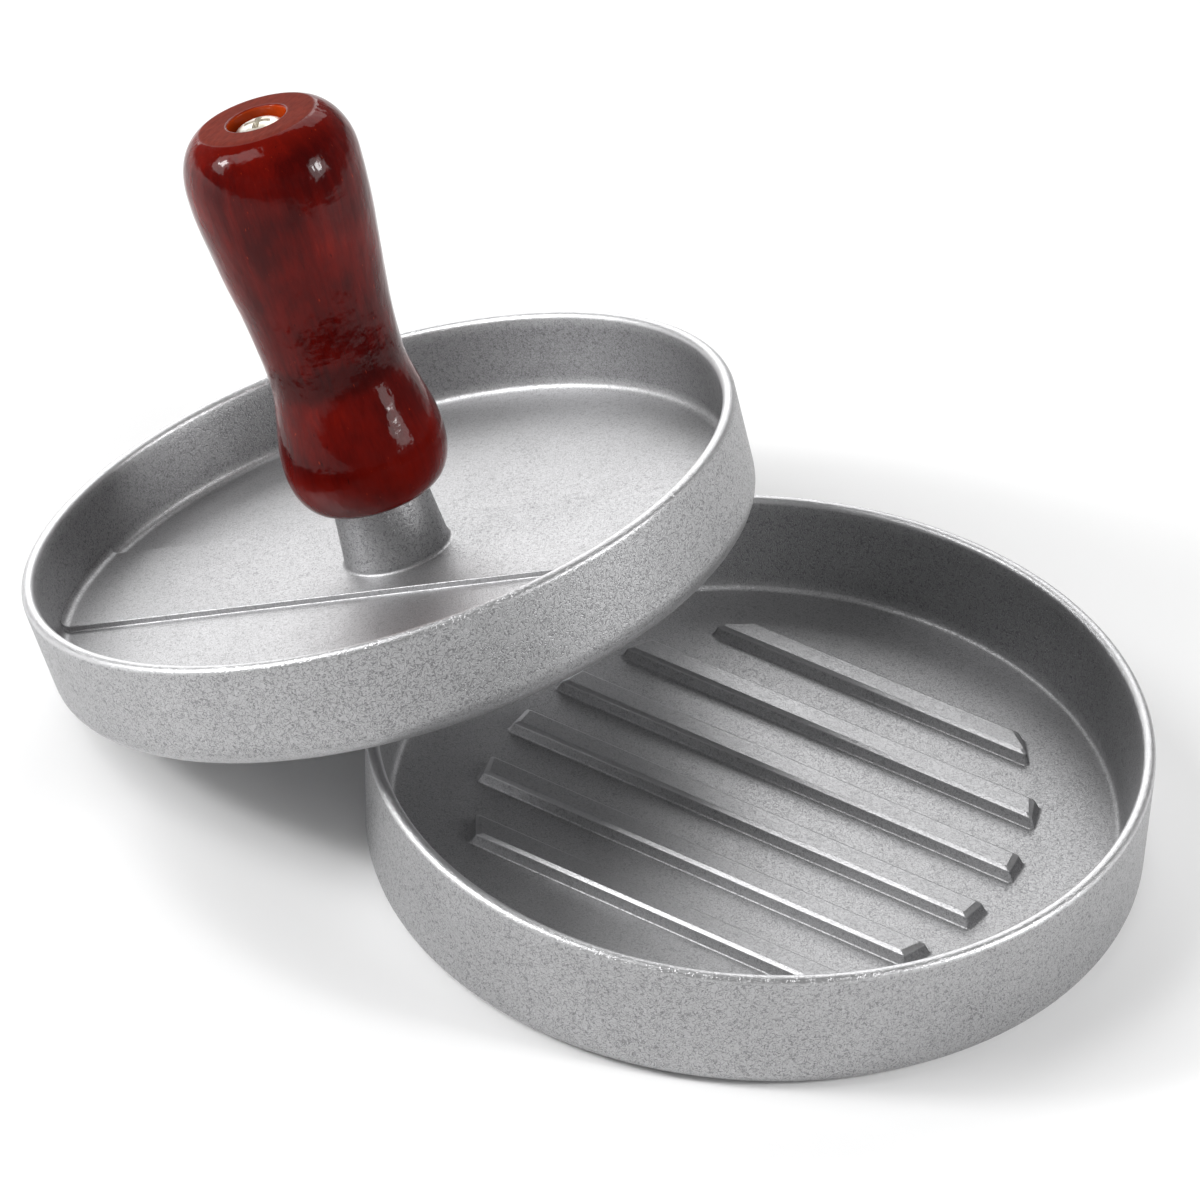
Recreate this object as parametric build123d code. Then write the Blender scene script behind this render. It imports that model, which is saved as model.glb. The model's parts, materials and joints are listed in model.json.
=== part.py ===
from build123d import *
import math
import os

# Burger press: a ribbed base dish and a press dish with a turned wooden handle.
# The press lies as it is put down: one edge on the table, its underside on the rim of the base.
# Sizes are in millimetres. The origin is the centre of the base's underside, and Z points up.

# Base dish, one casting
BASE_RADIUS = 61.5
BASE_OUTER_DRAFT = 0.4
BASE_HEIGHT = 21.5
BASE_WALL = 2.0
BASE_INNER_DRAFT = 0.6
BASE_CORNER = 3.0
BASE_FLOOR = 5.0
BASE_FLOOR_FILLET = 2.8

# Ribs cast on the floor of the base, side by side across an oval field
RIB_COUNT = 6
RIB_TOP_WIDTH = 4.1
RIB_SIDE_SLOPE = 0.7
RIB_HEIGHT = 2.1
RIB_END_SLOPE = 1.1
RIB_EDGE_ROUND = 0.6
RIB_END_MARGIN = 19.7
RIB_SIDE_MARGIN = 13.5
RIB_FIELD_SHIFT = 3.0
RIB_FIELD_INSET = 11.5
RIB_ROOT = 1.0
RIB_ANGLE = -1.5

# Press dish, one casting that goes down inside the wall of the base
DISH_CLEARANCE = 0.4
PRESS_HEIGHT = 18.8
PRESS_WALL = 2.2
PRESS_OUTER_DRAFT = 0.9
PRESS_INNER_DRAFT = 0.6
PRESS_CORNER = 4.5
PRESS_FLOOR = 5.5
PRESS_FLOOR_FILLET = 1.3

# Raised band across the press dish, under the boss
BAND_WIDTH = 24.8
BAND_HEIGHT = 1.0
BAND_SHIFT = -1.2
BAND_ANGLE = 15.8

# Tapered boss that carries the handle
BOSS_FOOT_RADIUS = 8.7
BOSS_TOP_RADIUS = 7.7
BOSS_TOP = 17.5
BOSS_ROOT_FILLET = 0.6

# Turned handle, from its foot on the boss to its flat top
HANDLE_LENGTH = 65.6
HANDLE_FOOT_RADIUS = 9.2
BULB_RADIUS = 13.25
BULB_RISE = 7.9
WAIST_RADIUS = 10.95
WAIST_RISE = 22.8
PALM_RADIUS = 14.0
PALM_DROP = 9.0
TOP_FACE_RADIUS = 8.1
COUNTERBORE_RADIUS = 4.7
COUNTERBORE_ROUND = 0.4
HEAD_SINK = 0.5

# Machine screw through the handle into the boss
SCREW_RADIUS = 2.0
SCREW_SINK = 1.0
SCREW_TIP_CHAMFER = 0.4
HEAD_INSET = 0.5
HEAD_HEIGHT = 3.1
HEAD_SIDE = 1.4
RECESS_SPAN = 4.4
RECESS_SLOT = 1.1
RECESS_DEPTH = 1.8
RECESS_TAPER = 12.0
RECESS_ANGLE = 25.0
THREAD_GAP = 0.05
TIP_GAP = 1.0
BORE_GAP = 0.35

# Flat washer under the screw head
WASHER_SIDE_GAP = 0.2
WASHER_THICKNESS = 0.8
WASHER_GAP = 0.15

# How the press leans on the base
LEAN_ANGLE = 20.9
LEAN_SIDE = 2.0
TABLE_GAP = 0.1
RIM_GAP = 0.25

# Sizes that follow from the ones above
RIM_ROUND_SHARE = 0.49
BASE_FOOT_RADIUS = BASE_RADIUS - BASE_OUTER_DRAFT
RIB_FIELD_ALONG = BASE_RADIUS - RIB_END_MARGIN
RIB_FIELD_ACROSS = BASE_RADIUS - RIB_SIDE_MARGIN
RIB_PITCH = 2 * (RIB_FIELD_ACROSS - RIB_FIELD_SHIFT - RIB_FIELD_INSET) / (RIB_COUNT - 1)
PRESS_RADIUS = BASE_RADIUS - BASE_WALL - DISH_CLEARANCE
PRESS_FOOT_RADIUS = PRESS_RADIUS - PRESS_OUTER_DRAFT
HANDLE_TOP = BOSS_TOP + HANDLE_LENGTH
PALM_RISE = HANDLE_LENGTH - PALM_DROP
WASHER_RADIUS = COUNTERBORE_RADIUS - WASHER_SIDE_GAP
HEAD_RADIUS = WASHER_RADIUS - HEAD_INSET
HEAD_SEAT = HANDLE_TOP - HEAD_SINK - HEAD_HEIGHT
WASHER_SEAT = HEAD_SEAT - WASHER_THICKNESS
SCREW_TIP = PRESS_FLOOR - SCREW_SINK


def turned(outline):
    """Solid of revolution about Z from an outline drawn as radius and height."""
    return revolve(Plane.XZ * make_face(outline), Axis.Z)


def corner_at(face, radius, height):
    """The vertex of a flat outline that lies nearest to a radius and height."""
    return face.vertices().sort_by_distance((radius, height))[0]


def dish(radius, foot_radius, height, wall, inner_draft, corner, floor, floor_fillet):
    """Round dish with a drafted wall, a full round rim, a rounded foot and a fillet round its floor."""
    rim_inner = radius - wall
    floor_radius = rim_inner - inner_draft
    outline = make_face(
        Polyline(
            (0, 0),
            (foot_radius, 0),
            (radius, height),
            (rim_inner, height),
            (floor_radius, floor),
            (0, floor),
            close=True,
        )
    )
    rounds = (
        (foot_radius, 0, corner),
        (radius, height, wall * RIM_ROUND_SHARE),
        (rim_inner, height, wall * RIM_ROUND_SHARE),
        (floor_radius, floor, floor_fillet),
    )
    for r, z, size in rounds:
        outline = fillet(corner_at(outline, r, z), size)
    return revolve(Plane.XZ * outline, Axis.Z)


def round_centre(foot_radius, radius, height, level, size):
    """Radius of the centre of a round that touches the drafted outer wall, at a level on that wall."""
    draft = math.atan2(radius - foot_radius, height)
    return foot_radius + level * math.tan(draft) - size / math.cos(draft)


def rib_bar():
    """One long rib along X with sloped sides, its root sunk into the floor."""
    top = RIB_TOP_WIDTH / 2
    foot = top + RIB_SIDE_SLOPE * (RIB_HEIGHT + RIB_ROOT) / RIB_HEIGHT
    section = make_face(
        Polyline((-foot, -RIB_ROOT), (foot, -RIB_ROOT), (top, RIB_HEIGHT), (-top, RIB_HEIGHT), close=True)
    )
    return extrude(Plane.YZ * section, RIB_FIELD_ALONG + RIB_END_SLOPE, both=True)


def rib_field():
    """Oval field, wider at its foot, that cuts the ribs off with sloped ends."""
    spread = RIB_END_SLOPE * (RIB_HEIGHT + RIB_ROOT) / RIB_HEIGHT
    foot = Pos(0, 0, -RIB_ROOT) * Ellipse(RIB_FIELD_ALONG + spread, RIB_FIELD_ACROSS + spread)
    top = Pos(0, 0, RIB_HEIGHT) * Ellipse(RIB_FIELD_ALONG, RIB_FIELD_ACROSS)
    return loft([foot, top])


def ribs():
    """Row of ribs with rounded top edges, each cut to the oval field."""
    field = rib_field()
    row = []
    for place in GridLocations(0, RIB_PITCH, 1, RIB_COUNT):
        bar = (Pos(0, RIB_FIELD_SHIFT, 0) * place * rib_bar()) & field
        top_edges = bar.faces().sort_by(Axis.Z)[-1].edges()
        row.append(fillet(top_edges, RIB_EDGE_ROUND))
    return row


def make_base_dish():
    body = dish(
        BASE_RADIUS,
        BASE_FOOT_RADIUS,
        BASE_HEIGHT,
        BASE_WALL,
        BASE_INNER_DRAFT,
        BASE_CORNER,
        BASE_FLOOR,
        BASE_FLOOR_FILLET,
    )
    for rib in ribs():
        body += Pos(0, 0, BASE_FLOOR) * Rot(0, 0, RIB_ANGLE) * rib
    return body


def press_band():
    """Raised band across the floor, its ends and its root sunk into the casting."""
    slab = Pos(0, BAND_SHIFT, PRESS_FLOOR) * Box(2 * PRESS_RADIUS, BAND_WIDTH, 2 * BAND_HEIGHT)
    return slab & Cylinder(PRESS_RADIUS - PRESS_WALL / 2, 2 * PRESS_HEIGHT)


def boss():
    """Tapered boss from the band up to the foot of the handle, with a fillet round its root."""
    band_top = PRESS_FLOOR + BAND_HEIGHT
    outline = make_face(
        Polyline(
            (0, band_top - BAND_HEIGHT),
            (BOSS_FOOT_RADIUS + BOSS_ROOT_FILLET, band_top - BAND_HEIGHT),
            (BOSS_FOOT_RADIUS + BOSS_ROOT_FILLET, band_top),
            (BOSS_FOOT_RADIUS, band_top),
            (BOSS_TOP_RADIUS, BOSS_TOP),
            (0, BOSS_TOP),
            close=True,
        )
    )
    outline = fillet(corner_at(outline, BOSS_FOOT_RADIUS, band_top), BOSS_ROOT_FILLET)
    return revolve(Plane.XZ * outline, Axis.Z)


def make_press_plate():
    body = dish(
        PRESS_RADIUS,
        PRESS_FOOT_RADIUS,
        PRESS_HEIGHT,
        PRESS_WALL,
        PRESS_INNER_DRAFT,
        PRESS_CORNER,
        PRESS_FLOOR,
        PRESS_FLOOR_FILLET,
    )
    hole_floor = SCREW_TIP - TIP_GAP
    hole = Pos(0, 0, hole_floor) * Cylinder(
        SCREW_RADIUS + THREAD_GAP, BOSS_TOP, align=(Align.CENTER, Align.CENTER, Align.MIN)
    )
    return Rot(0, 0, BAND_ANGLE) * (body + press_band() + boss() - hole)


def make_handle():
    """Turned handle: foot, lower bulb, waist, palm swell and flat top, bored and counterbored."""
    bore = SCREW_RADIUS + BORE_GAP
    seat = WASHER_SEAT - BOSS_TOP
    foot = Polyline((bore, seat), (bore, 0), (HANDLE_FOOT_RADIUS, 0))
    bulb = EllipticalCenterArc(
        (HANDLE_FOOT_RADIUS, BULB_RISE), BULB_RADIUS - HANDLE_FOOT_RADIUS, BULB_RISE, start_angle=-90, arc_size=90
    )
    waist = Spline((BULB_RADIUS, BULB_RISE), (WAIST_RADIUS, WAIST_RISE), tangents=((0, 1), (0, 1)))
    palm = Spline((WAIST_RADIUS, WAIST_RISE), (PALM_RADIUS, PALM_RISE), tangents=((0, 1), (0, 1)))
    shoulder = EllipticalCenterArc(
        (TOP_FACE_RADIUS, PALM_RISE),
        PALM_RADIUS - TOP_FACE_RADIUS,
        HANDLE_LENGTH - PALM_RISE,
        start_angle=0,
        arc_size=90,
    )
    top = Polyline(
        (TOP_FACE_RADIUS, HANDLE_LENGTH), (COUNTERBORE_RADIUS, HANDLE_LENGTH), (COUNTERBORE_RADIUS, seat), (bore, seat)
    )
    outline = make_face(foot + bulb + waist + palm + shoulder + top)
    outline = fillet(corner_at(outline, COUNTERBORE_RADIUS, HANDLE_LENGTH), COUNTERBORE_ROUND)
    return Pos(0, 0, BOSS_TOP) * revolve(Plane.XZ * outline, Axis.Z)


def screw_blank():
    """Screw without its recess: a straight shank with a chamfered tip under a pan head."""
    shank = Polyline(
        (0, SCREW_TIP),
        (SCREW_RADIUS - SCREW_TIP_CHAMFER, SCREW_TIP),
        (SCREW_RADIUS, SCREW_TIP + SCREW_TIP_CHAMFER),
        (SCREW_RADIUS, HEAD_SEAT),
        (HEAD_RADIUS, HEAD_SEAT),
        (HEAD_RADIUS, HEAD_SEAT + HEAD_SIDE),
    )
    head_top = HEAD_SEAT + HEAD_HEIGHT
    crown = EllipticalCenterArc(
        (0, HEAD_SEAT + HEAD_SIDE), HEAD_RADIUS, HEAD_HEIGHT - HEAD_SIDE, start_angle=0, arc_size=90
    )
    return turned(shank + crown + Line((0, head_top), (0, SCREW_TIP)))


def make_handle_screw():
    """Pan-head machine screw with a tapered cross recess."""
    cross = Rectangle(RECESS_SPAN, RECESS_SLOT) + Rectangle(RECESS_SLOT, RECESS_SPAN)
    mouth = HEAD_SEAT + HEAD_HEIGHT
    recess = extrude(Pos(0, 0, mouth) * cross, -RECESS_DEPTH, taper=RECESS_TAPER)
    return screw_blank() - Rot(0, 0, RECESS_ANGLE) * recess


def make_screw_washer():
    ring = Circle(WASHER_RADIUS) - Circle(SCREW_RADIUS + WASHER_GAP)
    return extrude(Pos(0, 0, WASHER_SEAT) * ring, WASHER_THICKNESS)


def lean():
    """Place of the press: its rounded edge on the table and its underside on the rim of the base."""
    slope = math.radians(LEAN_ANGLE)
    edge = round_centre(PRESS_FOOT_RADIUS, PRESS_RADIUS, PRESS_HEIGHT, PRESS_CORNER, PRESS_CORNER)
    rise = TABLE_GAP + PRESS_CORNER + edge * math.sin(slope) - PRESS_CORNER * math.cos(slope)
    rim_round = BASE_WALL * RIM_ROUND_SHARE
    rim_level = BASE_HEIGHT - rim_round
    rim = round_centre(BASE_FOOT_RADIUS, BASE_RADIUS, BASE_HEIGHT, rim_level, rim_round)
    drop = (rim_level - rise) * math.cos(slope) + rim_round + RIM_GAP
    return Location((-rim - drop / math.sin(slope), LEAN_SIDE, rise), (0, -LEAN_ANGLE, 0))


os.makedirs("parts", exist_ok=True)
PRESS_PLACE = lean()
export_step(make_base_dish(), "parts/base_dish.step")
export_step(PRESS_PLACE * make_press_plate(), "parts/press_plate.step")
export_step(PRESS_PLACE * make_handle(), "parts/handle.step")
export_step(PRESS_PLACE * make_handle_screw(), "parts/handle_screw.step")
export_step(PRESS_PLACE * make_screw_washer(), "parts/screw_washer.step")
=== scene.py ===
import json
import math

import bmesh
import bpy
import numpy as np
from mathutils import Matrix, Vector


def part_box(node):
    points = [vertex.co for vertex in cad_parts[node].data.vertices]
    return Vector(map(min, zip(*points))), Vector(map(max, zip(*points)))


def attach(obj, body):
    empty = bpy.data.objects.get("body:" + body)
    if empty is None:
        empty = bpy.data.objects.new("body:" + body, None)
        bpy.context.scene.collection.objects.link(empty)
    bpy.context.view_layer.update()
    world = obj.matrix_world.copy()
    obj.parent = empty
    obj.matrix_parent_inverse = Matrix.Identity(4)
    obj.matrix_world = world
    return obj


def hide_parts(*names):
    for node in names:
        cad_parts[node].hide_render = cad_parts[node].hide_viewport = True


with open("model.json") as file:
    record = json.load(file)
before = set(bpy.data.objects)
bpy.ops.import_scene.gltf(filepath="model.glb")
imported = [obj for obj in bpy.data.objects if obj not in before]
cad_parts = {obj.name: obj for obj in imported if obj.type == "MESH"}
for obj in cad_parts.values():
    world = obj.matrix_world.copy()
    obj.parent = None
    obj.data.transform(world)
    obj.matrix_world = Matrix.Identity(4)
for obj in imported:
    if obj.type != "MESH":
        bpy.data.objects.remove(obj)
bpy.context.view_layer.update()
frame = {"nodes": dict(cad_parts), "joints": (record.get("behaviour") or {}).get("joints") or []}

# A burger press put down open: the ribbed base dish stands on the table, and the press dish
# leans on its rim with the turned red handle up. Lengths are in metres, written in millimetres.
MM = 0.001

# Base dish. Its draft and fillet inside are for the looks: the solid has less draft and a wider cove.
BASE_RADIUS = 61.5 * MM
BASE_FOOT_RADIUS = 61.1 * MM
BASE_HEIGHT = 21.5 * MM
BASE_WALL = 2.0 * MM
BASE_DRAFT = 2.2 * MM
BASE_CORNER = 3.0 * MM
BASE_FLOOR = 5.0 * MM
BASE_FILLET = 1.0 * MM

# Ribs on the floor of the base. RIB_EDGE is how far their worn edge reaches along the top and down the side.
RIB_COUNT = 6
RIB_PITCH = 13.4 * MM
RIB_WIDTH = 4.1 * MM
RIB_SIDE_SLOPE = 0.7 * MM
RIB_END_SLOPE = 1.1 * MM
RIB_HEIGHT = 2.1 * MM
RIB_EDGE = 0.42 * MM
RIB_ARRIS = 0.10 * MM
RIB_ROOT_FILLET = 0.35 * MM
RIB_CORNER = 0.30 * MM
RIB_ALONG = 41.8 * MM
RIB_ACROSS = 48.0 * MM
RIB_SHIFT = 3.0 * MM
RIB_ANGLE = math.radians(-1.5)

# Press dish, with the band across its floor and the boss
PRESS_RADIUS = 59.1 * MM
PRESS_FOOT_RADIUS = 58.2 * MM
PRESS_HEIGHT = 18.8 * MM
PRESS_WALL = 2.2 * MM
PRESS_DRAFT = 0.6 * MM
PRESS_CORNER = 4.5 * MM
PRESS_FLOOR = 5.5 * MM
PRESS_FILLET = 1.3 * MM
BAND_WIDTH = 24.8 * MM
BAND_HEIGHT = 1.0 * MM
BAND_SHIFT = -1.2 * MM
BAND_EDGE = 0.22 * MM
BAND_ANGLE = math.radians(15.8)
BOSS_FOOT_RADIUS = 8.7 * MM
BOSS_TOP_RADIUS = 7.7 * MM
BOSS_TOP = 17.5 * MM
BOSS_EDGE = 0.1 * MM
BOSS_FILLET = 0.6 * MM
BOSS_SEAM_RADIUS = BOSS_FOOT_RADIUS + 1.3 * BOSS_FILLET
THREAD_RADIUS = 2.05 * MM
THREAD_FLOOR = 3.5 * MM

# Handle, with heights from its foot
HANDLE_LENGTH = 65.6 * MM
HANDLE_FOOT_RADIUS = 9.2 * MM
BULB_RADIUS = 13.25 * MM
BULB_RISE = 7.9 * MM
WAIST_RADIUS = 10.95 * MM
WAIST_RISE = 22.8 * MM
PALM_RADIUS = 14.0 * MM
PALM_RISE = 56.6 * MM
TOP_FACE_RADIUS = 8.1 * MM
COUNTERBORE_RADIUS = 4.7 * MM
COUNTERBORE_DEPTH = 4.4 * MM
COUNTERBORE_EDGE = 0.4 * MM
BORE_RADIUS = 2.35 * MM
WASHER_THICKNESS = 0.8 * MM
SANDING_DEPTH = 0.05 * MM
SANDING_FADE = 2 * MM

# The two rounds of a rim, each as a share of the wall
RIM_ROUND_SHARE = 0.49

# Fineness of the surfaces
DISH_TURNS = 360
HANDLE_TURNS = 256
PAPER_TURNS = 96
ARC_STEPS = 8
CURVE_STEPS = 24
BAND_LENGTHS = 40
BAND_STEP = 0.8 * MM
CREASE = math.radians(32)
WELD = 0.0001 * MM

# HOLD is how near its ends a long straight gets a point, so that its shading stays flat. A shell that
# stands on another one meets it SKIN below its surface and reaches SUNK into it.
HOLD = 0.25 * MM
SUNK = 1.0 * MM
SKIN = 0.0025 * MM

# Wear and painted highlight of a rib's edge against depth below its top, counted in RIB_EDGE: it starts
# at TOP_RUB_AND_HIGHLIGHT, gains RUB_AND_HIGHLIGHT_GAIN a unit until it is whole, and fades by
# RUB_AND_HIGHLIGHT_FADE a unit until none is left at RUB_AND_HIGHLIGHT_END. The colour it lightens is partly
# wear and partly a painted highlight on the rib tops and edges.
TOP_RUB_AND_HIGHLIGHT = 0.45
RUB_AND_HIGHLIGHT_GAIN = 8
RUB_AND_HIGHLIGHT_END = 1.3
RUB_AND_HIGHLIGHT_FADE = 3


def joint_axis():
    """Direction of the handle: the way the press lifts off."""
    return Vector(frame["joints"][0]["axis"]).normalized()


def press_place():
    """Place of the press dish, with Z up its handle, found from the washer: its middle is on the handle's
    axis, half its thickness above the counterbore's floor."""
    up = joint_axis()
    low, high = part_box("screw_washer")
    washer_middle = BOSS_TOP + HANDLE_LENGTH - COUNTERBORE_DEPTH + WASHER_THICKNESS / 2
    origin = (low + high) / 2 - up * washer_middle
    lean = math.atan2(up.x, up.z)
    return Matrix.Translation(origin) @ Matrix.Rotation(lean, 4, "Y")


# Surfaces


def rounded_path(corners, closed=False):
    """Outline through corners of (across, up, round). Each corner is cut back by round * tan(turn / 2)
    on both sides and bridged by its arc, and long straights get a point near each end."""
    points = np.array([c[:2] for c in corners], float)
    rounds = np.array([c[2] if len(c) > 2 else 0.0 for c in corners], float)
    before = points - np.roll(points, 1, axis=0)
    after = np.roll(points, -1, axis=0) - points
    path = []
    for i, (point, size) in enumerate(zip(points, rounds)):
        at_end = not closed and i in (0, len(points) - 1)
        if at_end or size == 0:
            path.append(point[None])
            continue
        arriving = before[i] / np.linalg.norm(before[i])
        leaving = after[i] / np.linalg.norm(after[i])
        turn = math.atan2(arriving[0] * leaving[1] - arriving[1] * leaving[0], arriving @ leaving)
        side = math.copysign(1, turn)
        start = point - arriving * size * math.tan(abs(turn) / 2)
        centre = start + side * size * np.array([-arriving[1], arriving[0]])
        angles = np.linspace(0, turn, ARC_STEPS + 1)[:, None]
        spoke = start - centre
        path.append(centre + np.cos(angles) * spoke + np.sin(angles) * np.array([-spoke[1], spoke[0]]))
    return held(path, closed)


def held(path, closed):
    """The stretches of an outline joined up, with a point HOLD away from each end of a long straight."""
    joined = []
    count = len(path)
    for i, stretch in enumerate(path):
        joined.append(stretch)
        if i == count - 1 and not closed:
            break
        start, end = stretch[-1], path[(i + 1) % count][0]
        length = np.linalg.norm(end - start)
        if length > 3 * HOLD:
            step = (end - start) * HOLD / length
            joined.append(np.array([start + step, end - step]))
    return np.concatenate(joined)


def divided(path, longest):
    """A closed outline whose straights are cut into equal lengths of at most longest."""
    after = np.roll(path, -1, axis=0)
    counts = np.ceil(np.linalg.norm(after - path, axis=1) / longest).astype(int).clip(1)
    parts = [
        start + (end - start) * np.arange(count)[:, None] / count
        for start, end, count in zip(path, after, counts)
    ]
    return np.concatenate(parts)


def grid_faces(rows, columns):
    """Four-cornered faces of a grid of points whose last column meets the first."""
    across = np.arange(columns)
    down = np.arange(rows - 1)[:, None] * columns
    beside = (across + 1) % columns
    corners = (down + across, down + beside, down + columns + beside, down + columns + across)
    return np.stack(corners, axis=-1).reshape(-1, 4)


def revolved(path, turns):
    """Surface of revolution: (r, z) at angle a is (r cos a, r sin a, z)."""
    angle = np.linspace(0, 2 * math.pi, turns, endpoint=False)
    radius, height = path[:, :1], path[:, 1:]
    points = np.stack((radius * np.cos(angle), radius * np.sin(angle), height + 0 * angle), axis=-1)
    return points.reshape(-1, 3), grid_faces(len(path), turns).tolist()


def tube(rings):
    """Closed shell from rings of equally many points, one ring per row, with a flat face over each end."""
    rows, columns = rings.shape[:2]
    faces = grid_faces(rows, columns).tolist()
    faces.append(list(range(columns))[::-1])
    faces.append(list(range((rows - 1) * columns, rows * columns)))
    return rings.reshape(-1, 3), faces


def piece(name, shells, place, body, nodes, finish):
    """One named piece from closed shells, put in its place, smooth but for its creases, riding on its body.
    A shell may carry a share for each of its points, kept by the mesh as its rubbed attribute: it lightens
    the colour, partly as wear and partly as a painted highlight."""
    points, faces, rubbed, first = [], [], [], 0
    for shell_points, shell_faces, *wear in shells:
        points.append(shell_points)
        faces += [[corner + first for corner in face] for face in shell_faces]
        rubbed.append(wear[0] if wear else np.zeros(len(shell_points)))
        first += len(shell_points)
    mesh = bpy.data.meshes.new(name)
    mesh.from_pydata(np.concatenate(points), [], faces)
    mesh.attributes.new("rubbed", "FLOAT", "POINT").data.foreach_set("value", np.concatenate(rubbed))
    mesh.transform(place)
    welded = bmesh.new()
    welded.from_mesh(mesh)
    bmesh.ops.remove_doubles(welded, verts=welded.verts, dist=WELD)
    welded.to_mesh(mesh)
    welded.free()
    mesh.shade_smooth()
    mesh.set_sharp_from_angle(angle=CREASE)
    mesh.materials.append(finish)
    made = bpy.data.objects.new(name, mesh)
    bpy.context.scene.collection.objects.link(made)
    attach(made, body)
    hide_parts(*nodes)


def dish_outline(radius, foot_radius, height, wall, draft, corner, floor, fillet):
    """Half section of a dish, from the middle of its underside round the rim to the edge of its floor."""
    inner = radius - wall
    return [
        (0, 0),
        (foot_radius, 0, corner),
        (radius, height, wall * RIM_ROUND_SHARE),
        (inner, height, wall * RIM_ROUND_SHARE),
        (inner - draft, floor, fillet),
    ]


def rib_end(across):
    """Half length of a rib's top where it is cut to the oval x^2 / along^2 + y^2 / across^2 = 1."""
    return RIB_ALONG * math.sqrt(1 - (across / RIB_ACROSS) ** 2)


def rib(middle):
    """A rib as rings one below the other. The ring at (offset, height) of its side section is the top's
    outline moved out by offset, and by as much more at the sloped ends. Its edge is worn to a narrow flat
    that takes RIB_EDGE off the top and off the side."""
    worn_share = RIB_EDGE / math.hypot(RIB_SIDE_SLOPE, RIB_HEIGHT)
    foot = RIB_SIDE_SLOPE + 2 * RIB_ROOT_FILLET
    section = rounded_path(
        [
            (-2 * RIB_EDGE, RIB_HEIGHT),
            (-RIB_EDGE, RIB_HEIGHT, RIB_ARRIS),
            (RIB_SIDE_SLOPE * worn_share, RIB_HEIGHT * (1 - worn_share), RIB_ARRIS),
            (RIB_SIDE_SLOPE, -SKIN, RIB_ROOT_FILLET),
            (foot, -SKIN),
            (foot, -SUNK),
        ]
    )
    steeper = RIB_END_SLOPE / RIB_SIDE_SLOPE
    near = middle - RIB_WIDTH / 2
    far = middle + RIB_WIDTH / 2
    rings = []
    for offset, height in section:
        near_end = rib_end(near) + offset * steeper
        far_end = rib_end(far) + offset * steeper
        corner = RIB_CORNER + max(offset, 0) / 2
        corners = [
            (-near_end, near - offset, corner),
            (near_end, near - offset, corner),
            (far_end, far + offset, corner),
            (-far_end, far + offset, corner),
        ]
        ring = rounded_path(corners, closed=True)
        rings.append(np.column_stack((ring, np.full(len(ring), BASE_FLOOR + height))))
    points, faces = tube(np.array(rings))
    # Share of each point that lightens its colour: partly wear, partly a painted highlight on the tops and
    # edges.
    below = (BASE_FLOOR + RIB_HEIGHT - points[:, 2]) / RIB_EDGE
    rubbed = np.clip(TOP_RUB_AND_HIGHLIGHT + below * RUB_AND_HIGHLIGHT_GAIN, 0, 1) * np.clip((RUB_AND_HIGHLIGHT_END - below) * RUB_AND_HIGHLIGHT_FADE, 0, 1)
    return points, faces, rubbed


def turned_about_z(shell, angle):
    """A shell turned about the Z axis."""
    points, *rest = shell
    c, s = math.cos(angle), math.sin(angle)
    turn = np.array([[c, -s, 0], [s, c, 0], [0, 0, 1]])
    return points @ turn.T, *rest


def base_shells():
    """The dish, revolved from its half section, and the ribs side by side, all turned by the same angle."""
    outline = dish_outline(
        radius=BASE_RADIUS,
        foot_radius=BASE_FOOT_RADIUS,
        height=BASE_HEIGHT,
        wall=BASE_WALL,
        draft=BASE_DRAFT,
        corner=BASE_CORNER,
        floor=BASE_FLOOR,
        fillet=BASE_FILLET,
    )
    dish = revolved(rounded_path(outline + [(0, BASE_FLOOR)]), DISH_TURNS)
    middles = RIB_SHIFT + (np.arange(RIB_COUNT) - (RIB_COUNT - 1) / 2) * RIB_PITCH
    return [dish] + [turned_about_z(rib(middle), RIB_ANGLE) for middle in middles]


def band():
    """Raised band: its cross section (y, z) swept along the chord from wall to wall. Near each end the
    section climbs the same quarter round as the floor does, at radius r, where x = sqrt(r^2 - y^2)."""
    half = BAND_WIDTH / 2
    foot = half + 2 * BAND_EDGE
    top = PRESS_FLOOR + BAND_HEIGHT
    section = rounded_path(
        [
            (-foot, PRESS_FLOOR - SUNK),
            (foot, PRESS_FLOOR - SUNK),
            (foot, PRESS_FLOOR - SKIN),
            (half, PRESS_FLOOR - SKIN, BAND_EDGE),
            (half, top, BAND_EDGE),
            (-half, top, BAND_EDGE),
            (-half, PRESS_FLOOR - SKIN, BAND_EDGE),
            (-foot, PRESS_FLOOR - SKIN),
        ],
        closed=True,
    )
    section = divided(section, BAND_STEP)
    wall = PRESS_RADIUS - PRESS_WALL - PRESS_DRAFT
    lean = 0.02 * MM
    climb = rounded_path(
        [
            (wall - 2 * PRESS_FILLET, 0),
            (wall, 0, PRESS_FILLET),
            (wall + lean, PRESS_FILLET),
            (wall + SUNK, PRESS_FILLET),
        ]
    )
    flat = np.linspace(-1, 1, BAND_LENGTHS + 1)[1:-1]
    y, z = section[:, 0] + BAND_SHIFT, section[:, 1]
    ends = np.sqrt(climb[:, :1] ** 2 - y**2)
    middle = flat[:, None] * ends[0]
    x = np.concatenate((-ends[::-1], middle, ends))
    rise = np.concatenate((climb[::-1, 1], 0 * flat, climb[:, 1]))
    rings = np.stack((x, y + 0 * x, z + rise[:, None]), axis=-1)
    return tube(rings)


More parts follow.
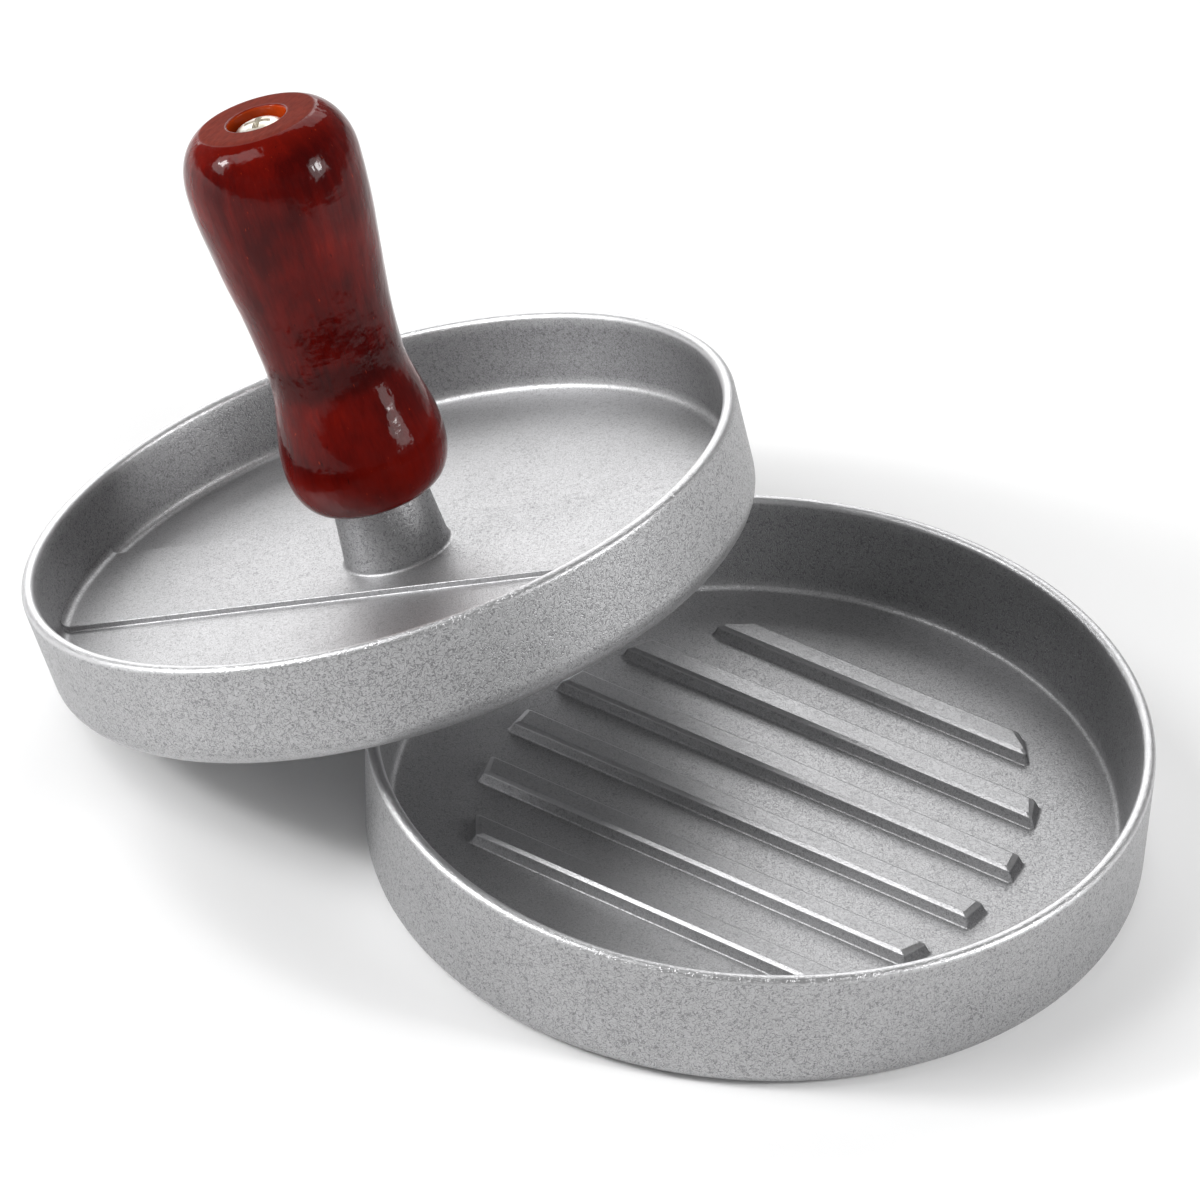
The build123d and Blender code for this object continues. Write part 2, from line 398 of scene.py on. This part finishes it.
def press_shells():
    """The dish with its boss and thread hole, revolved from one half section, and the band on its floor."""
    outline = dish_outline(
        radius=PRESS_RADIUS,
        foot_radius=PRESS_FOOT_RADIUS,
        height=PRESS_HEIGHT,
        wall=PRESS_WALL,
        draft=PRESS_DRAFT,
        corner=PRESS_CORNER,
        floor=PRESS_FLOOR,
        fillet=PRESS_FILLET,
    )
    root = PRESS_FLOOR + BAND_HEIGHT - SKIN
    boss = [
        (BOSS_SEAM_RADIUS, PRESS_FLOOR),
        (BOSS_SEAM_RADIUS, root),
        (BOSS_FOOT_RADIUS, root, BOSS_FILLET),
        (BOSS_TOP_RADIUS, BOSS_TOP, BOSS_EDGE),
        (THREAD_RADIUS, BOSS_TOP),
        (THREAD_RADIUS, THREAD_FLOOR),
        (0, THREAD_FLOOR),
    ]
    return [revolved(rounded_path(outline + boss), DISH_TURNS), turned_about_z(band(), BAND_ANGLE)]


def eased(start, end, steps):
    """Curve between two (radius, rise) points that leaves and arrives parallel to the axis: 3 t^2 - 2 t^3."""
    t = np.linspace(0, 1, steps)
    ease = t * t * (3 - 2 * t)
    return np.column_stack((start[0] + (end[0] - start[0]) * ease, start[1] + (end[1] - start[1]) * t))


def quarter(centre, reach, start):
    """Quarter of an ellipse about a (radius, rise) centre, from an angle in quarter turns."""
    angle = (start + np.linspace(0, 1, CURVE_STEPS)) * math.pi / 2
    return np.column_stack((centre[0] + reach[0] * np.cos(angle), centre[1] + reach[1] * np.sin(angle)))


def handle_shell():
    """Turned handle: a half section carried round the axis, with the slow unevenness of hand sanding: the
    radius gains depth * sin(3 a + k1 z) * sin(k2 z) and a shorter wave like it, with z in millimetres. The
    depth goes to nothing at the foot's radius, so the foot and the top face stay flat."""
    seat = HANDLE_LENGTH - COUNTERBORE_DEPTH
    bulb = quarter((HANDLE_FOOT_RADIUS, BULB_RISE), (BULB_RADIUS - HANDLE_FOOT_RADIUS, BULB_RISE), -1)
    waist = eased((BULB_RADIUS, BULB_RISE), (WAIST_RADIUS, WAIST_RISE), CURVE_STEPS)[1:]
    palm = eased((WAIST_RADIUS, WAIST_RISE), (PALM_RADIUS, PALM_RISE), 2 * CURVE_STEPS)[1:]
    shoulder = quarter(
        (TOP_FACE_RADIUS, PALM_RISE), (PALM_RADIUS - TOP_FACE_RADIUS, HANDLE_LENGTH - PALM_RISE), 0
    )[1:]
    inside = rounded_path(
        [
            (TOP_FACE_RADIUS, HANDLE_LENGTH),
            (COUNTERBORE_RADIUS, HANDLE_LENGTH, COUNTERBORE_EDGE),
            (COUNTERBORE_RADIUS, seat),
            (BORE_RADIUS, seat),
            (BORE_RADIUS, 0),
        ]
    )[1:]
    foot = np.array([(BORE_RADIUS, 0), (HANDLE_FOOT_RADIUS - HOLD, 0)])
    path = np.concatenate((foot, bulb, waist, palm, shoulder, inside))
    points, faces = revolved(path, HANDLE_TURNS)
    radius = np.hypot(points[:, 0], points[:, 1])
    angle = np.arctan2(points[:, 1], points[:, 0])
    rise = points[:, 2] / MM
    depth = SANDING_DEPTH * np.clip((radius - HANDLE_FOOT_RADIUS) / SANDING_FADE, 0, 1)
    long_wave = np.sin(3 * angle + 0.21 * rise) * np.sin(0.33 * rise)
    short_wave = 0.4 * np.sin(7 * angle - 0.5 * rise)
    points[:, :2] *= (1 + depth * (long_wave + short_wave) / np.maximum(radius, MM))[:, None]
    points[:, 2] += BOSS_TOP
    return points, faces


# Shader nodes


class Wire:
    """A shader socket. Arithmetic on it adds the Math nodes."""

    def __init__(self, finish, socket):
        self.finish = finish
        self.socket = socket

    def __add__(self, other):
        return self.finish.math("ADD", self, other)

    __radd__ = __add__

    def __sub__(self, other):
        return self.finish.math("SUBTRACT", self, other)

    def __rsub__(self, other):
        return self.finish.math("SUBTRACT", other, self)

    def __mul__(self, other):
        return self.finish.math("MULTIPLY", self, other)

    __rmul__ = __mul__


class Finish:
    """A material being made."""

    def __init__(self, name):
        self.material = bpy.data.materials.new(name)
        self.material.use_nodes = True
        self.tree = self.material.node_tree
        self.tree.nodes.clear()

    def node(self, kind, settings=None, inputs=None, output=0):
        """Any node: its settings first, then values or links for its sockets."""
        made = self.tree.nodes.new(kind)
        for name, value in (settings or {}).items():
            if name == "stops":
                self.set_stops(made.color_ramp, value)
            else:
                setattr(made, name, value)
        for name, value in (inputs or {}).items():
            if isinstance(value, Wire):
                self.tree.links.new(value.socket, made.inputs[name])
            else:
                made.inputs[name].default_value = value
        return Wire(self, made.outputs[output]) if made.outputs else None

    def set_stops(self, ramp, stops):
        """Colour stops of a ramp, as (place, (r, g, b))."""
        while len(ramp.elements) < len(stops):
            ramp.elements.new(1)
        for element, (position, colour) in zip(ramp.elements, stops):
            element.position = position
            element.color = (*colour, 1)

    def math(self, operation, *values):
        """A Math node on values or links."""
        return self.node("ShaderNodeMath", {"operation": operation}, dict(enumerate(values)))

    def local(self, place):
        """Object coordinates carried into a piece's own frame."""
        point = self.node("ShaderNodeTexCoord", output="Object")
        location, turn, _ = place.decompose()
        return self.node(
            "ShaderNodeMapping",
            {"vector_type": "TEXTURE"},
            {"Vector": point, "Location": location, "Rotation": turn.to_euler()},
        )

    def split(self, vector):
        """The three numbers of a vector."""
        parts = self.node("ShaderNodeSeparateXYZ", inputs={0: vector})
        return [Wire(self, output) for output in parts.socket.node.outputs]

    def stretched(self, vector, scale):
        """A vector with its numbers multiplied: a pattern gets longer where the scale is less than 1."""
        return self.node("ShaderNodeVectorMath", {"operation": "MULTIPLY"}, {0: vector, 1: scale})

    def noise(self, vector, size, detail=2.0, roughness=0.5, distortion=0.0):
        """Noise from 0 to 1 whose blotches are about size across."""
        return self.node(
            "ShaderNodeTexNoise",
            {"noise_dimensions": "3D"},
            {
                "Vector": vector,
                "Scale": 1 / size,
                "Detail": detail,
                "Roughness": roughness,
                "Distortion": distortion,
            },
        )

    def step(self, value, low, high):
        """Smooth step from 0 to 1 as a value goes from low to high."""
        return self.node(
            "ShaderNodeMapRange",
            {"interpolation_type": "SMOOTHSTEP"},
            {"Value": value, "From Min": low, "From Max": high},
        )

    def blend(self, share, first, second):
        """Colour that goes from first to second with share."""
        colours = {0: share, 6: shade(first), 7: shade(second)}
        return self.node("ShaderNodeMix", {"data_type": "RGBA"}, colours, output=2)

    def bump(self, height, depth, strength, under=None):
        """Bump of a height from 0 to 1 over a real depth, on top of another bump."""
        inputs = {"Strength": strength, "Distance": depth, "Height": height}
        if under:
            inputs["Normal"] = under
        return self.node("ShaderNodeBump", inputs=inputs)

    def surface(self, **inputs):
        """The finished surface from its sockets' values or links."""
        sockets = {name.replace("_", " ").title().replace("Ior", "IOR"): inputs[name] for name in inputs}
        shader = self.node("ShaderNodeBsdfPrincipled", inputs=sockets)
        self.node("ShaderNodeOutputMaterial", inputs={"Surface": shader})
        return self.material


def shade(value):
    """A colour or grey as the four numbers a colour socket takes, or a link as it is."""
    if isinstance(value, Wire):
        return value
    if isinstance(value, (int, float)):
        return (value, value, value, 1)
    return (*value, 1)


# Finishes

# Greys of the bare castings. Their tones are places between the darkest grain and polished edges.
DARK_GRAIN = (0.16, 0.16, 0.165)
POLISHED = (0.86, 0.86, 0.87)
OUTSIDE_TONE = 0.38
# Painted shade: the base floor is darker than the press floor, and the inner walls darker than the floors.
BASE_FLOOR_SHADED_TONE = 0.42
BASE_WALL_SHADED_TONE = 0.26
PRESS_FLOOR_TONE = 0.51
PRESS_WALL_SHADED_TONE = 0.22
RIM_TONE = 0.24
RIM_SMOOTHING = 0.7
MOTTLE_TONE = 0.10
WORM_TONE = 0.16
WORM_TONE_OUTSIDE = 0.10
FINE_TONE = 0.45
FINE_TONE_OUTSIDE = 0.05
CAST_ROUGHNESS = 0.50
WORM_GLOSS = 0.08
RIM_GLOSS = 0.10

# Patterns of the cast skin: their sizes and how deep they stand. WORM_WIDTH is in the noise's own values.
WORM_SIZE = 0.62 * MM
WORM_WIDTH = 0.075
FINE_SIZE = 0.24 * MM
MOTTLE_SIZE = 9 * MM
RAGGED_SIZE = 1.1 * MM
RAGGED_REACH = 0.25 * MM
WORM_DEPTH = 0.05 * MM
FINE_DEPTH = 0.06 * MM

# Where one cast finish goes over into the next, and the inner walls' painted shade begins: each pair is its
# start and end, down from the top of the rim or up from the floor, and the two blends are widths across a
# radius
RIM_WORN = (1.0 * MM, 0.45 * MM)
WALL_UNDER_RIM = (0.0, 3 * MM)
WALL_OVER_FLOOR = (0.5 * MM, 2.5 * MM)
BOSS_OVER_FLOOR = (1.4 * MM, 2.2 * MM)
BOSS_EDGE_BLEND = 0.6 * MM
OUTSIDE_BLEND = 0.3 * MM


def cast_aluminium(name, place, height, floor, wall_radius, floor_tone, wall_shaded_tone, boss_radius=0.0):
    """Bare die casting: coarse grain outside and on the boss, finer and duller inside, and bright rims.
    Painted shade darkens the inner walls, and the base floor through its lower floor tone; the rim tone also
    lightens the rib tops and edges, partly as wear and partly as a painted highlight.
    """
    f = Finish(name)
    point = f.local(place)
    x, y, z = f.split(point)
    radius = f.math("SQRT", x * x + y * y)
    swirl = f.noise(point, WORM_SIZE, 0.6, 0.4, 0.9)
    worms = f.step(f.math("ABSOLUTE", swirl - 0.5), 0.0, WORM_WIDTH)
    fine = f.noise(point, FINE_SIZE, 1.5, 0.6, 0.4)
    edges = f.node("ShaderNodeAttribute", {"attribute_name": "rubbed"}, output="Fac")
    mottle = f.noise(point, MOTTLE_SIZE, 3.0, 0.55)
    ragged = f.noise(point, RAGGED_SIZE, 3.0, 0.6)
    outside = f.step(radius, wall_radius - OUTSIDE_BLEND, wall_radius + OUTSIDE_BLEND)
    if boss_radius:
        inwards = f.step(radius, boss_radius, boss_radius - BOSS_EDGE_BLEND)
        upwards = f.step(z, floor + BOSS_OVER_FLOOR[0], floor + BOSS_OVER_FLOOR[1])
        outside = f.math("MAXIMUM", outside, inwards * upwards)
    worn_to = z + (ragged - 0.5) * RAGGED_REACH
    # The rim mask also takes in the rib edges, whose lighter colour is partly wear and partly a painted
    # highlight.
    rim = f.math("MAXIMUM", f.step(worn_to, height - RIM_WORN[0], height - RIM_WORN[1]), edges)
    over_floor = f.step(z, floor + WALL_OVER_FLOOR[0], floor + WALL_OVER_FLOOR[1])
    under_rim = f.step(z, height - WALL_UNDER_RIM[0], height - WALL_UNDER_RIM[1])
    # Painted shade on the inner walls between the floor and the rim
    shaded_walls = (1 - outside) * over_floor * under_rim
    coarse_skin = (worms - 0.75) * (WORM_TONE + WORM_TONE_OUTSIDE * outside)
    skin = coarse_skin + (fine - 0.5) * (FINE_TONE + FINE_TONE_OUTSIDE * outside)
    tone = floor_tone + (OUTSIDE_TONE - floor_tone) * outside + (wall_shaded_tone - floor_tone) * shaded_walls
    tone = tone + skin * (1 - RIM_SMOOTHING * rim) + (mottle - 0.5) * MOTTLE_TONE + RIM_TONE * rim
    colour = f.blend(tone, DARK_GRAIN, POLISHED)
    roughness = CAST_ROUGHNESS - (worms - 0.6) * WORM_GLOSS * (1 - rim) - RIM_GLOSS * rim
    grain = f.bump(worms * (0.45 + 0.55 * outside), WORM_DEPTH, 0.6)
    tooth = f.bump(fine, FINE_DEPTH, 0.5, grain)
    return f.surface(base_color=colour, metallic=1.0, roughness=roughness, normal=tooth)


# Stains of the handle, from the darkest streaks to the lightest, the painted reflection across the waist,
# and how much each pattern tells
STAIN_STOPS = (
    (0.0, (0.030, 0.0004, 0.0003)),
    (0.35, (0.056, 0.0008, 0.0005)),
    (0.65, (0.125, 0.0028, 0.0010)),
    (1.0, (0.290, 0.0110, 0.0026)),
)
# Dark band across the waist: a painted reflection.
PAINTED_WAIST_REFLECTION = (0.016, 0.0004, 0.0004)
WARM_STAIN = (0.24, 0.0070, 0.0012)
END_GRAIN_DARK = (0.060, 0.006, 0.003)
END_GRAIN_PALE = (0.260, 0.036, 0.020)
PORE_STAIN = (0.008, 0.0004, 0.0004)
FLECK_STAIN = (0.36, 0.030, 0.006)
BORE_STAIN = (0.46, 0.050, 0.006)
WOOD_TONE = 0.48
FIGURE_TONE = 0.60
FIBRE_TONE = 0.32
CLOUD_TONE = 0.85
WAIST_REFLECTION_SHARE = 0.5
CROWN_SHARE = 0.32
FOOT_SHARE = 0.22
SPECK_SHARE = 0.6

# Gloss of its lacquer, which the end grain on the top has soaked up
LACQUER_ROUGHNESS = 0.09
FIBRE_ROUGHNESS = 0.06
END_GRAIN_ROUGHNESS = 0.75
LACQUER_SHINE = 0.15
LACQUER_IOR = 1.5

# Patterns of the wood and its lacquer: their sizes and how deep they stand
FIGURE_SIZE = 4.5 * MM
FIBRE_SIZE = 0.6 * MM
CLOUD_SIZE = 11 * MM
PORE_SIZE = 0.42 * MM
FLECK_SIZE = 0.50 * MM
RING_SIZE = 0.5 * MM
PEEL_SIZE = 1.6 * MM
STROKE_SIZE = 0.9 * MM
PEEL_DEPTH = 0.20 * MM
STROKE_DEPTH = 0.018 * MM

# Where the stains, and the painted reflection at the waist, go over into one another: each pair is its
# start and end, away from the dark waist, down from the top, up from the bulb's widest place, or out from
# the counterbore's wall
DARK_WAIST_RISE = WAIST_RISE + 1 * MM
DARK_WAIST_WANDER = 7 * MM
DARK_WAIST = (3.6 * MM, 1.6 * MM)
CROWN = (4 * MM, 0.5 * MM)
WARM_FOOT = (5 * MM, -5 * MM)
TOP_FACE = (0.35 * MM, 0.1 * MM)
END_GRAIN_FROM = (0.2 * MM, 0.6 * MM)
BORE_TO = (0.25 * MM, -0.05 * MM)


def lacquered_wood(name, place):
    """Red stained hardwood under gloss lacquer: long grain, short dark pores and end grain on the top."""
    f = Finish(name)
    point = f.local(place)
    x, y, z = f.split(point)
    radius = f.math("SQRT", x * x + y * y)
    rise = z - BOSS_TOP
    along = f.stretched(point, (1, 1, 0.12))
    figure = f.noise(along, FIGURE_SIZE, 4.0, 0.6, 1.2)
    fibre = f.noise(along, FIBRE_SIZE, 3.0, 0.65, 0.3)
    cloud = f.noise(point, CLOUD_SIZE, 2.0, 0.5)
    pores = f.step(f.noise(f.stretched(point, (1, 1, 0.22)), PORE_SIZE, 1.0, 0.5), 0.74, 0.80)
    flecks = f.step(f.noise(f.stretched(point, (1.1, 1.1, 0.3)), FLECK_SIZE, 1.0, 0.5), 0.75, 0.80)
    streaks = (figure - 0.5) * FIGURE_TONE + (fibre - 0.5) * FIBRE_TONE
    tone = WOOD_TONE + streaks + (cloud - 0.5) * CLOUD_TONE
    colour = f.node("ShaderNodeValToRGB", {"stops": STAIN_STOPS}, {0: tone})
    # A ragged dark band across the waist, painted as a reflection.
    from_waist = f.math("ABSOLUTE", rise - DARK_WAIST_RISE + (figure - 0.5) * DARK_WAIST_WANDER)
    waist = f.step(from_waist, *DARK_WAIST)
    colour = f.blend(waist * WAIST_REFLECTION_SHARE, colour, PAINTED_WAIST_REFLECTION)
    crown = f.step(rise, HANDLE_LENGTH - CROWN[0], HANDLE_LENGTH - CROWN[1])
    foot = f.step(rise, BULB_RISE + WARM_FOOT[0], BULB_RISE + WARM_FOOT[1])
    warm = f.math("MAXIMUM", crown * CROWN_SHARE, foot * FOOT_SHARE)
    colour = f.blend(warm, colour, WARM_STAIN)
    upwards = f.step(rise, HANDLE_LENGTH - TOP_FACE[0], HANDLE_LENGTH - TOP_FACE[1])
    outwards = f.step(radius, COUNTERBORE_RADIUS + END_GRAIN_FROM[0], COUNTERBORE_RADIUS + END_GRAIN_FROM[1])
    top = upwards * outwards
    rings = f.noise(f.stretched(point, (1, 0.25, 1)), RING_SIZE, 3.0, 0.6, 0.6)
    end_grain = f.blend(rings, END_GRAIN_DARK, END_GRAIN_PALE)
    colour = f.blend(pores * SPECK_SHARE, colour, PORE_STAIN)
    colour = f.blend(flecks * SPECK_SHARE, colour, FLECK_STAIN)
    colour = f.blend(top, colour, end_grain)
    bore = f.step(radius, COUNTERBORE_RADIUS + BORE_TO[0], COUNTERBORE_RADIUS + BORE_TO[1])
    colour = f.blend(bore, colour, BORE_STAIN)
    peel = f.noise(f.stretched(point, (1, 1, 0.7)), PEEL_SIZE, 1.5, 0.5)
    stroke = f.noise(f.stretched(point, (0.6, 0.6, 2.0)), STROKE_SIZE, 2.0, 0.55)
    roughness = LACQUER_ROUGHNESS + (fibre - 0.5) * FIBRE_ROUGHNESS + END_GRAIN_ROUGHNESS * top
    sanded = f.bump(peel, PEEL_DEPTH, 0.45)
    brushed = f.bump(stroke, STROKE_DEPTH, 0.5, sanded)
    return f.surface(
        base_color=colour,
        roughness=roughness,
        normal=brushed,
        specular_ior_level=LACQUER_SHINE,
        ior=LACQUER_IOR,
    )


# Zinc plating of the screw and the washer
PALE_ZINC = (0.86, 0.84, 0.78)
DULL_ZINC = (0.62, 0.56, 0.46)
DULL_BRASSY = (0.62, 0.52, 0.36)
DULL_SIZE = 1.8 * MM
SPECK_SIZE = 0.25 * MM
SPECK_DEPTH = 0.02 * MM


def plated_steel(name, place, dull):
    """Pale zinc plating, slightly dulled and yellowed."""
    f = Finish(name)
    point = f.local(place)
    cloud = f.noise(point, DULL_SIZE, 3.0, 0.6)
    speck = f.noise(point, SPECK_SIZE, 2.0, 0.5)
    return f.surface(
        base_color=f.blend(f.step(cloud, 0.35, 0.7), PALE_ZINC, dull),
        metallic=1.0,
        roughness=0.30 + 0.2 * cloud,
        normal=f.bump(speck, SPECK_DEPTH, 0.5),
    )


# Table, lamps and camera

TABLE_RADIUS = 3.0
TABLE_MIDDLE_RADIUS = 0.5
BACKDROP_HEIGHT = 2.2
BACKDROP_BEND = 1.2
PAPER_WHITE = 0.97
ROOM_LIGHT = 0.20

# Place that the lamps are aimed at, and each lamp's name, azimuth to the camera's right and elevation in
# degrees, distance and side in metres, and watts
LIT_PLACE = Vector((-20, 0, 25)) * MM
LAMPS = (
    ("left softbox", -86, 28, 0.93, 0.38, 2.4),
    ("left bulb", -86, 30, 0.91, 0.13, 2.6),
    ("high left softbox", -79, 53, 1.0, 0.44, 3.0),
    ("right softbox", 70, 26, 0.93, 0.38, 2.4),
    ("right bulb", 70, 28, 0.91, 0.13, 2.6),
    ("low back softbox", 197, 15, 2.0, 1.3, 11.0),
    ("high back softbox", 175, 38, 2.0, 1.2, 9.0),
)

CAMERA_AT = Vector((376.6, -702.3, 642.1)) * MM
CAMERA_AIM = Vector((-0.4006, 0.6923, -0.6002)).normalized()
CAMERA_ROLL = math.radians(2.424)
CAMERA_LENS = 195
CAMERA_SENSOR = 36
CAMERA_REACH = 20
CAMERA_AZIMUTH = math.atan2(-CAMERA_AIM.y, -CAMERA_AIM.x)


def white_paper():
    """Plain white paper, for the table and the backdrop."""
    f = Finish("white paper")
    shader = f.node("ShaderNodeBsdfDiffuse", inputs={"Color": shade(PAPER_WHITE)})
    f.node("ShaderNodeOutputMaterial", inputs={"Surface": shader})
    return f.material


def set_table():
    """Round table top whose edge bends up into a backdrop on every side."""
    bend = quarter((TABLE_RADIUS, BACKDROP_BEND), (BACKDROP_BEND, BACKDROP_BEND), -1)
    inner = [(0, 0), (TABLE_MIDDLE_RADIUS, 0)]
    path = np.concatenate((inner, bend, [(TABLE_RADIUS + BACKDROP_BEND, BACKDROP_HEIGHT)]))
    points, faces = revolved(path, PAPER_TURNS)
    mesh = bpy.data.meshes.new("table_and_backdrop")
    mesh.from_pydata(points, [], [face[::-1] for face in faces])
    mesh.shade_smooth()
    mesh.materials.append(white_paper())
    table = bpy.data.objects.new("table_and_backdrop", mesh)
    bpy.context.scene.collection.objects.link(table)


def set_room():
    """Even white light from all round."""
    world = bpy.data.worlds.new("studio")
    bpy.context.scene.world = world
    world.use_nodes = True
    world.node_tree.nodes["Background"].inputs["Color"].default_value = (1, 1, 1, 1)
    world.node_tree.nodes["Background"].inputs["Strength"].default_value = ROOM_LIGHT


def lamp(name, azimuth, elevation, distance, side, power):
    """Square softbox, aimed at the lit place."""
    light = bpy.data.lights.new(name, "AREA")
    light.size = side
    light.energy = power
    made = bpy.data.objects.new(name, light)
    a = CAMERA_AZIMUTH + math.radians(azimuth)
    e = math.radians(elevation)
    away = Vector((math.cos(a) * math.cos(e), math.sin(a) * math.cos(e), math.sin(e)))
    made.location = LIT_PLACE + away * distance
    made.rotation_euler = away.to_track_quat("Z", "Y").to_euler()
    made.visible_camera = False
    bpy.context.scene.collection.objects.link(made)


def set_camera():
    """Camera at its place, with its X across the picture, its Y up the picture and its back to the aim."""
    data = bpy.data.cameras.new("camera")
    data.lens = CAMERA_LENS
    data.sensor_width = CAMERA_SENSOR
    data.clip_end = CAMERA_REACH
    camera = bpy.data.objects.new("camera", data)
    right = CAMERA_AIM.cross(Vector((0, 0, 1))).normalized()
    up = right.cross(CAMERA_AIM)
    across = right * math.cos(CAMERA_ROLL) + up * math.sin(CAMERA_ROLL)
    upright = up * math.cos(CAMERA_ROLL) - right * math.sin(CAMERA_ROLL)
    turn = Matrix((across, upright, -CAMERA_AIM)).transposed()
    camera.matrix_world = Matrix.Translation(CAMERA_AT) @ turn.to_4x4()
    bpy.context.scene.collection.objects.link(camera)
    bpy.context.scene.camera = camera


# The object

base_at = Matrix.Identity(4)
press_at = press_place()
base_metal = cast_aluminium(
    "base casting",
    base_at,
    height=BASE_HEIGHT,
    floor=BASE_FLOOR,
    wall_radius=BASE_RADIUS - BASE_WALL / 2,
    floor_tone=BASE_FLOOR_SHADED_TONE,
    wall_shaded_tone=BASE_WALL_SHADED_TONE,
)
press_metal = cast_aluminium(
    "press casting",
    press_at,
    height=PRESS_HEIGHT,
    floor=PRESS_FLOOR,
    wall_radius=PRESS_RADIUS - PRESS_WALL / 2,
    floor_tone=PRESS_FLOOR_TONE,
    wall_shaded_tone=PRESS_WALL_SHADED_TONE,
    boss_radius=BOSS_FOOT_RADIUS + BOSS_FILLET,
)
wood = lacquered_wood("red lacquered wood", press_at)
piece("base_dish_casting", base_shells(), base_at, "base", ["base_dish"], base_metal)
piece("press_dish_casting", press_shells(), press_at, "press", ["press_plate"], press_metal)
piece("turned_handle", [handle_shell()], press_at, "press", ["handle"], wood)
for node, dull in (("handle_screw", DULL_ZINC), ("screw_washer", DULL_BRASSY)):
    materials = frame["nodes"][node].data.materials
    materials.clear()
    materials.append(plated_steel(node.replace("_", " ") + " plating", press_at, dull))

# The studio

set_table()
set_room()
for row in LAMPS:
    lamp(*row)
set_camera()
bpy.context.scene.view_settings.view_transform = "Standard"
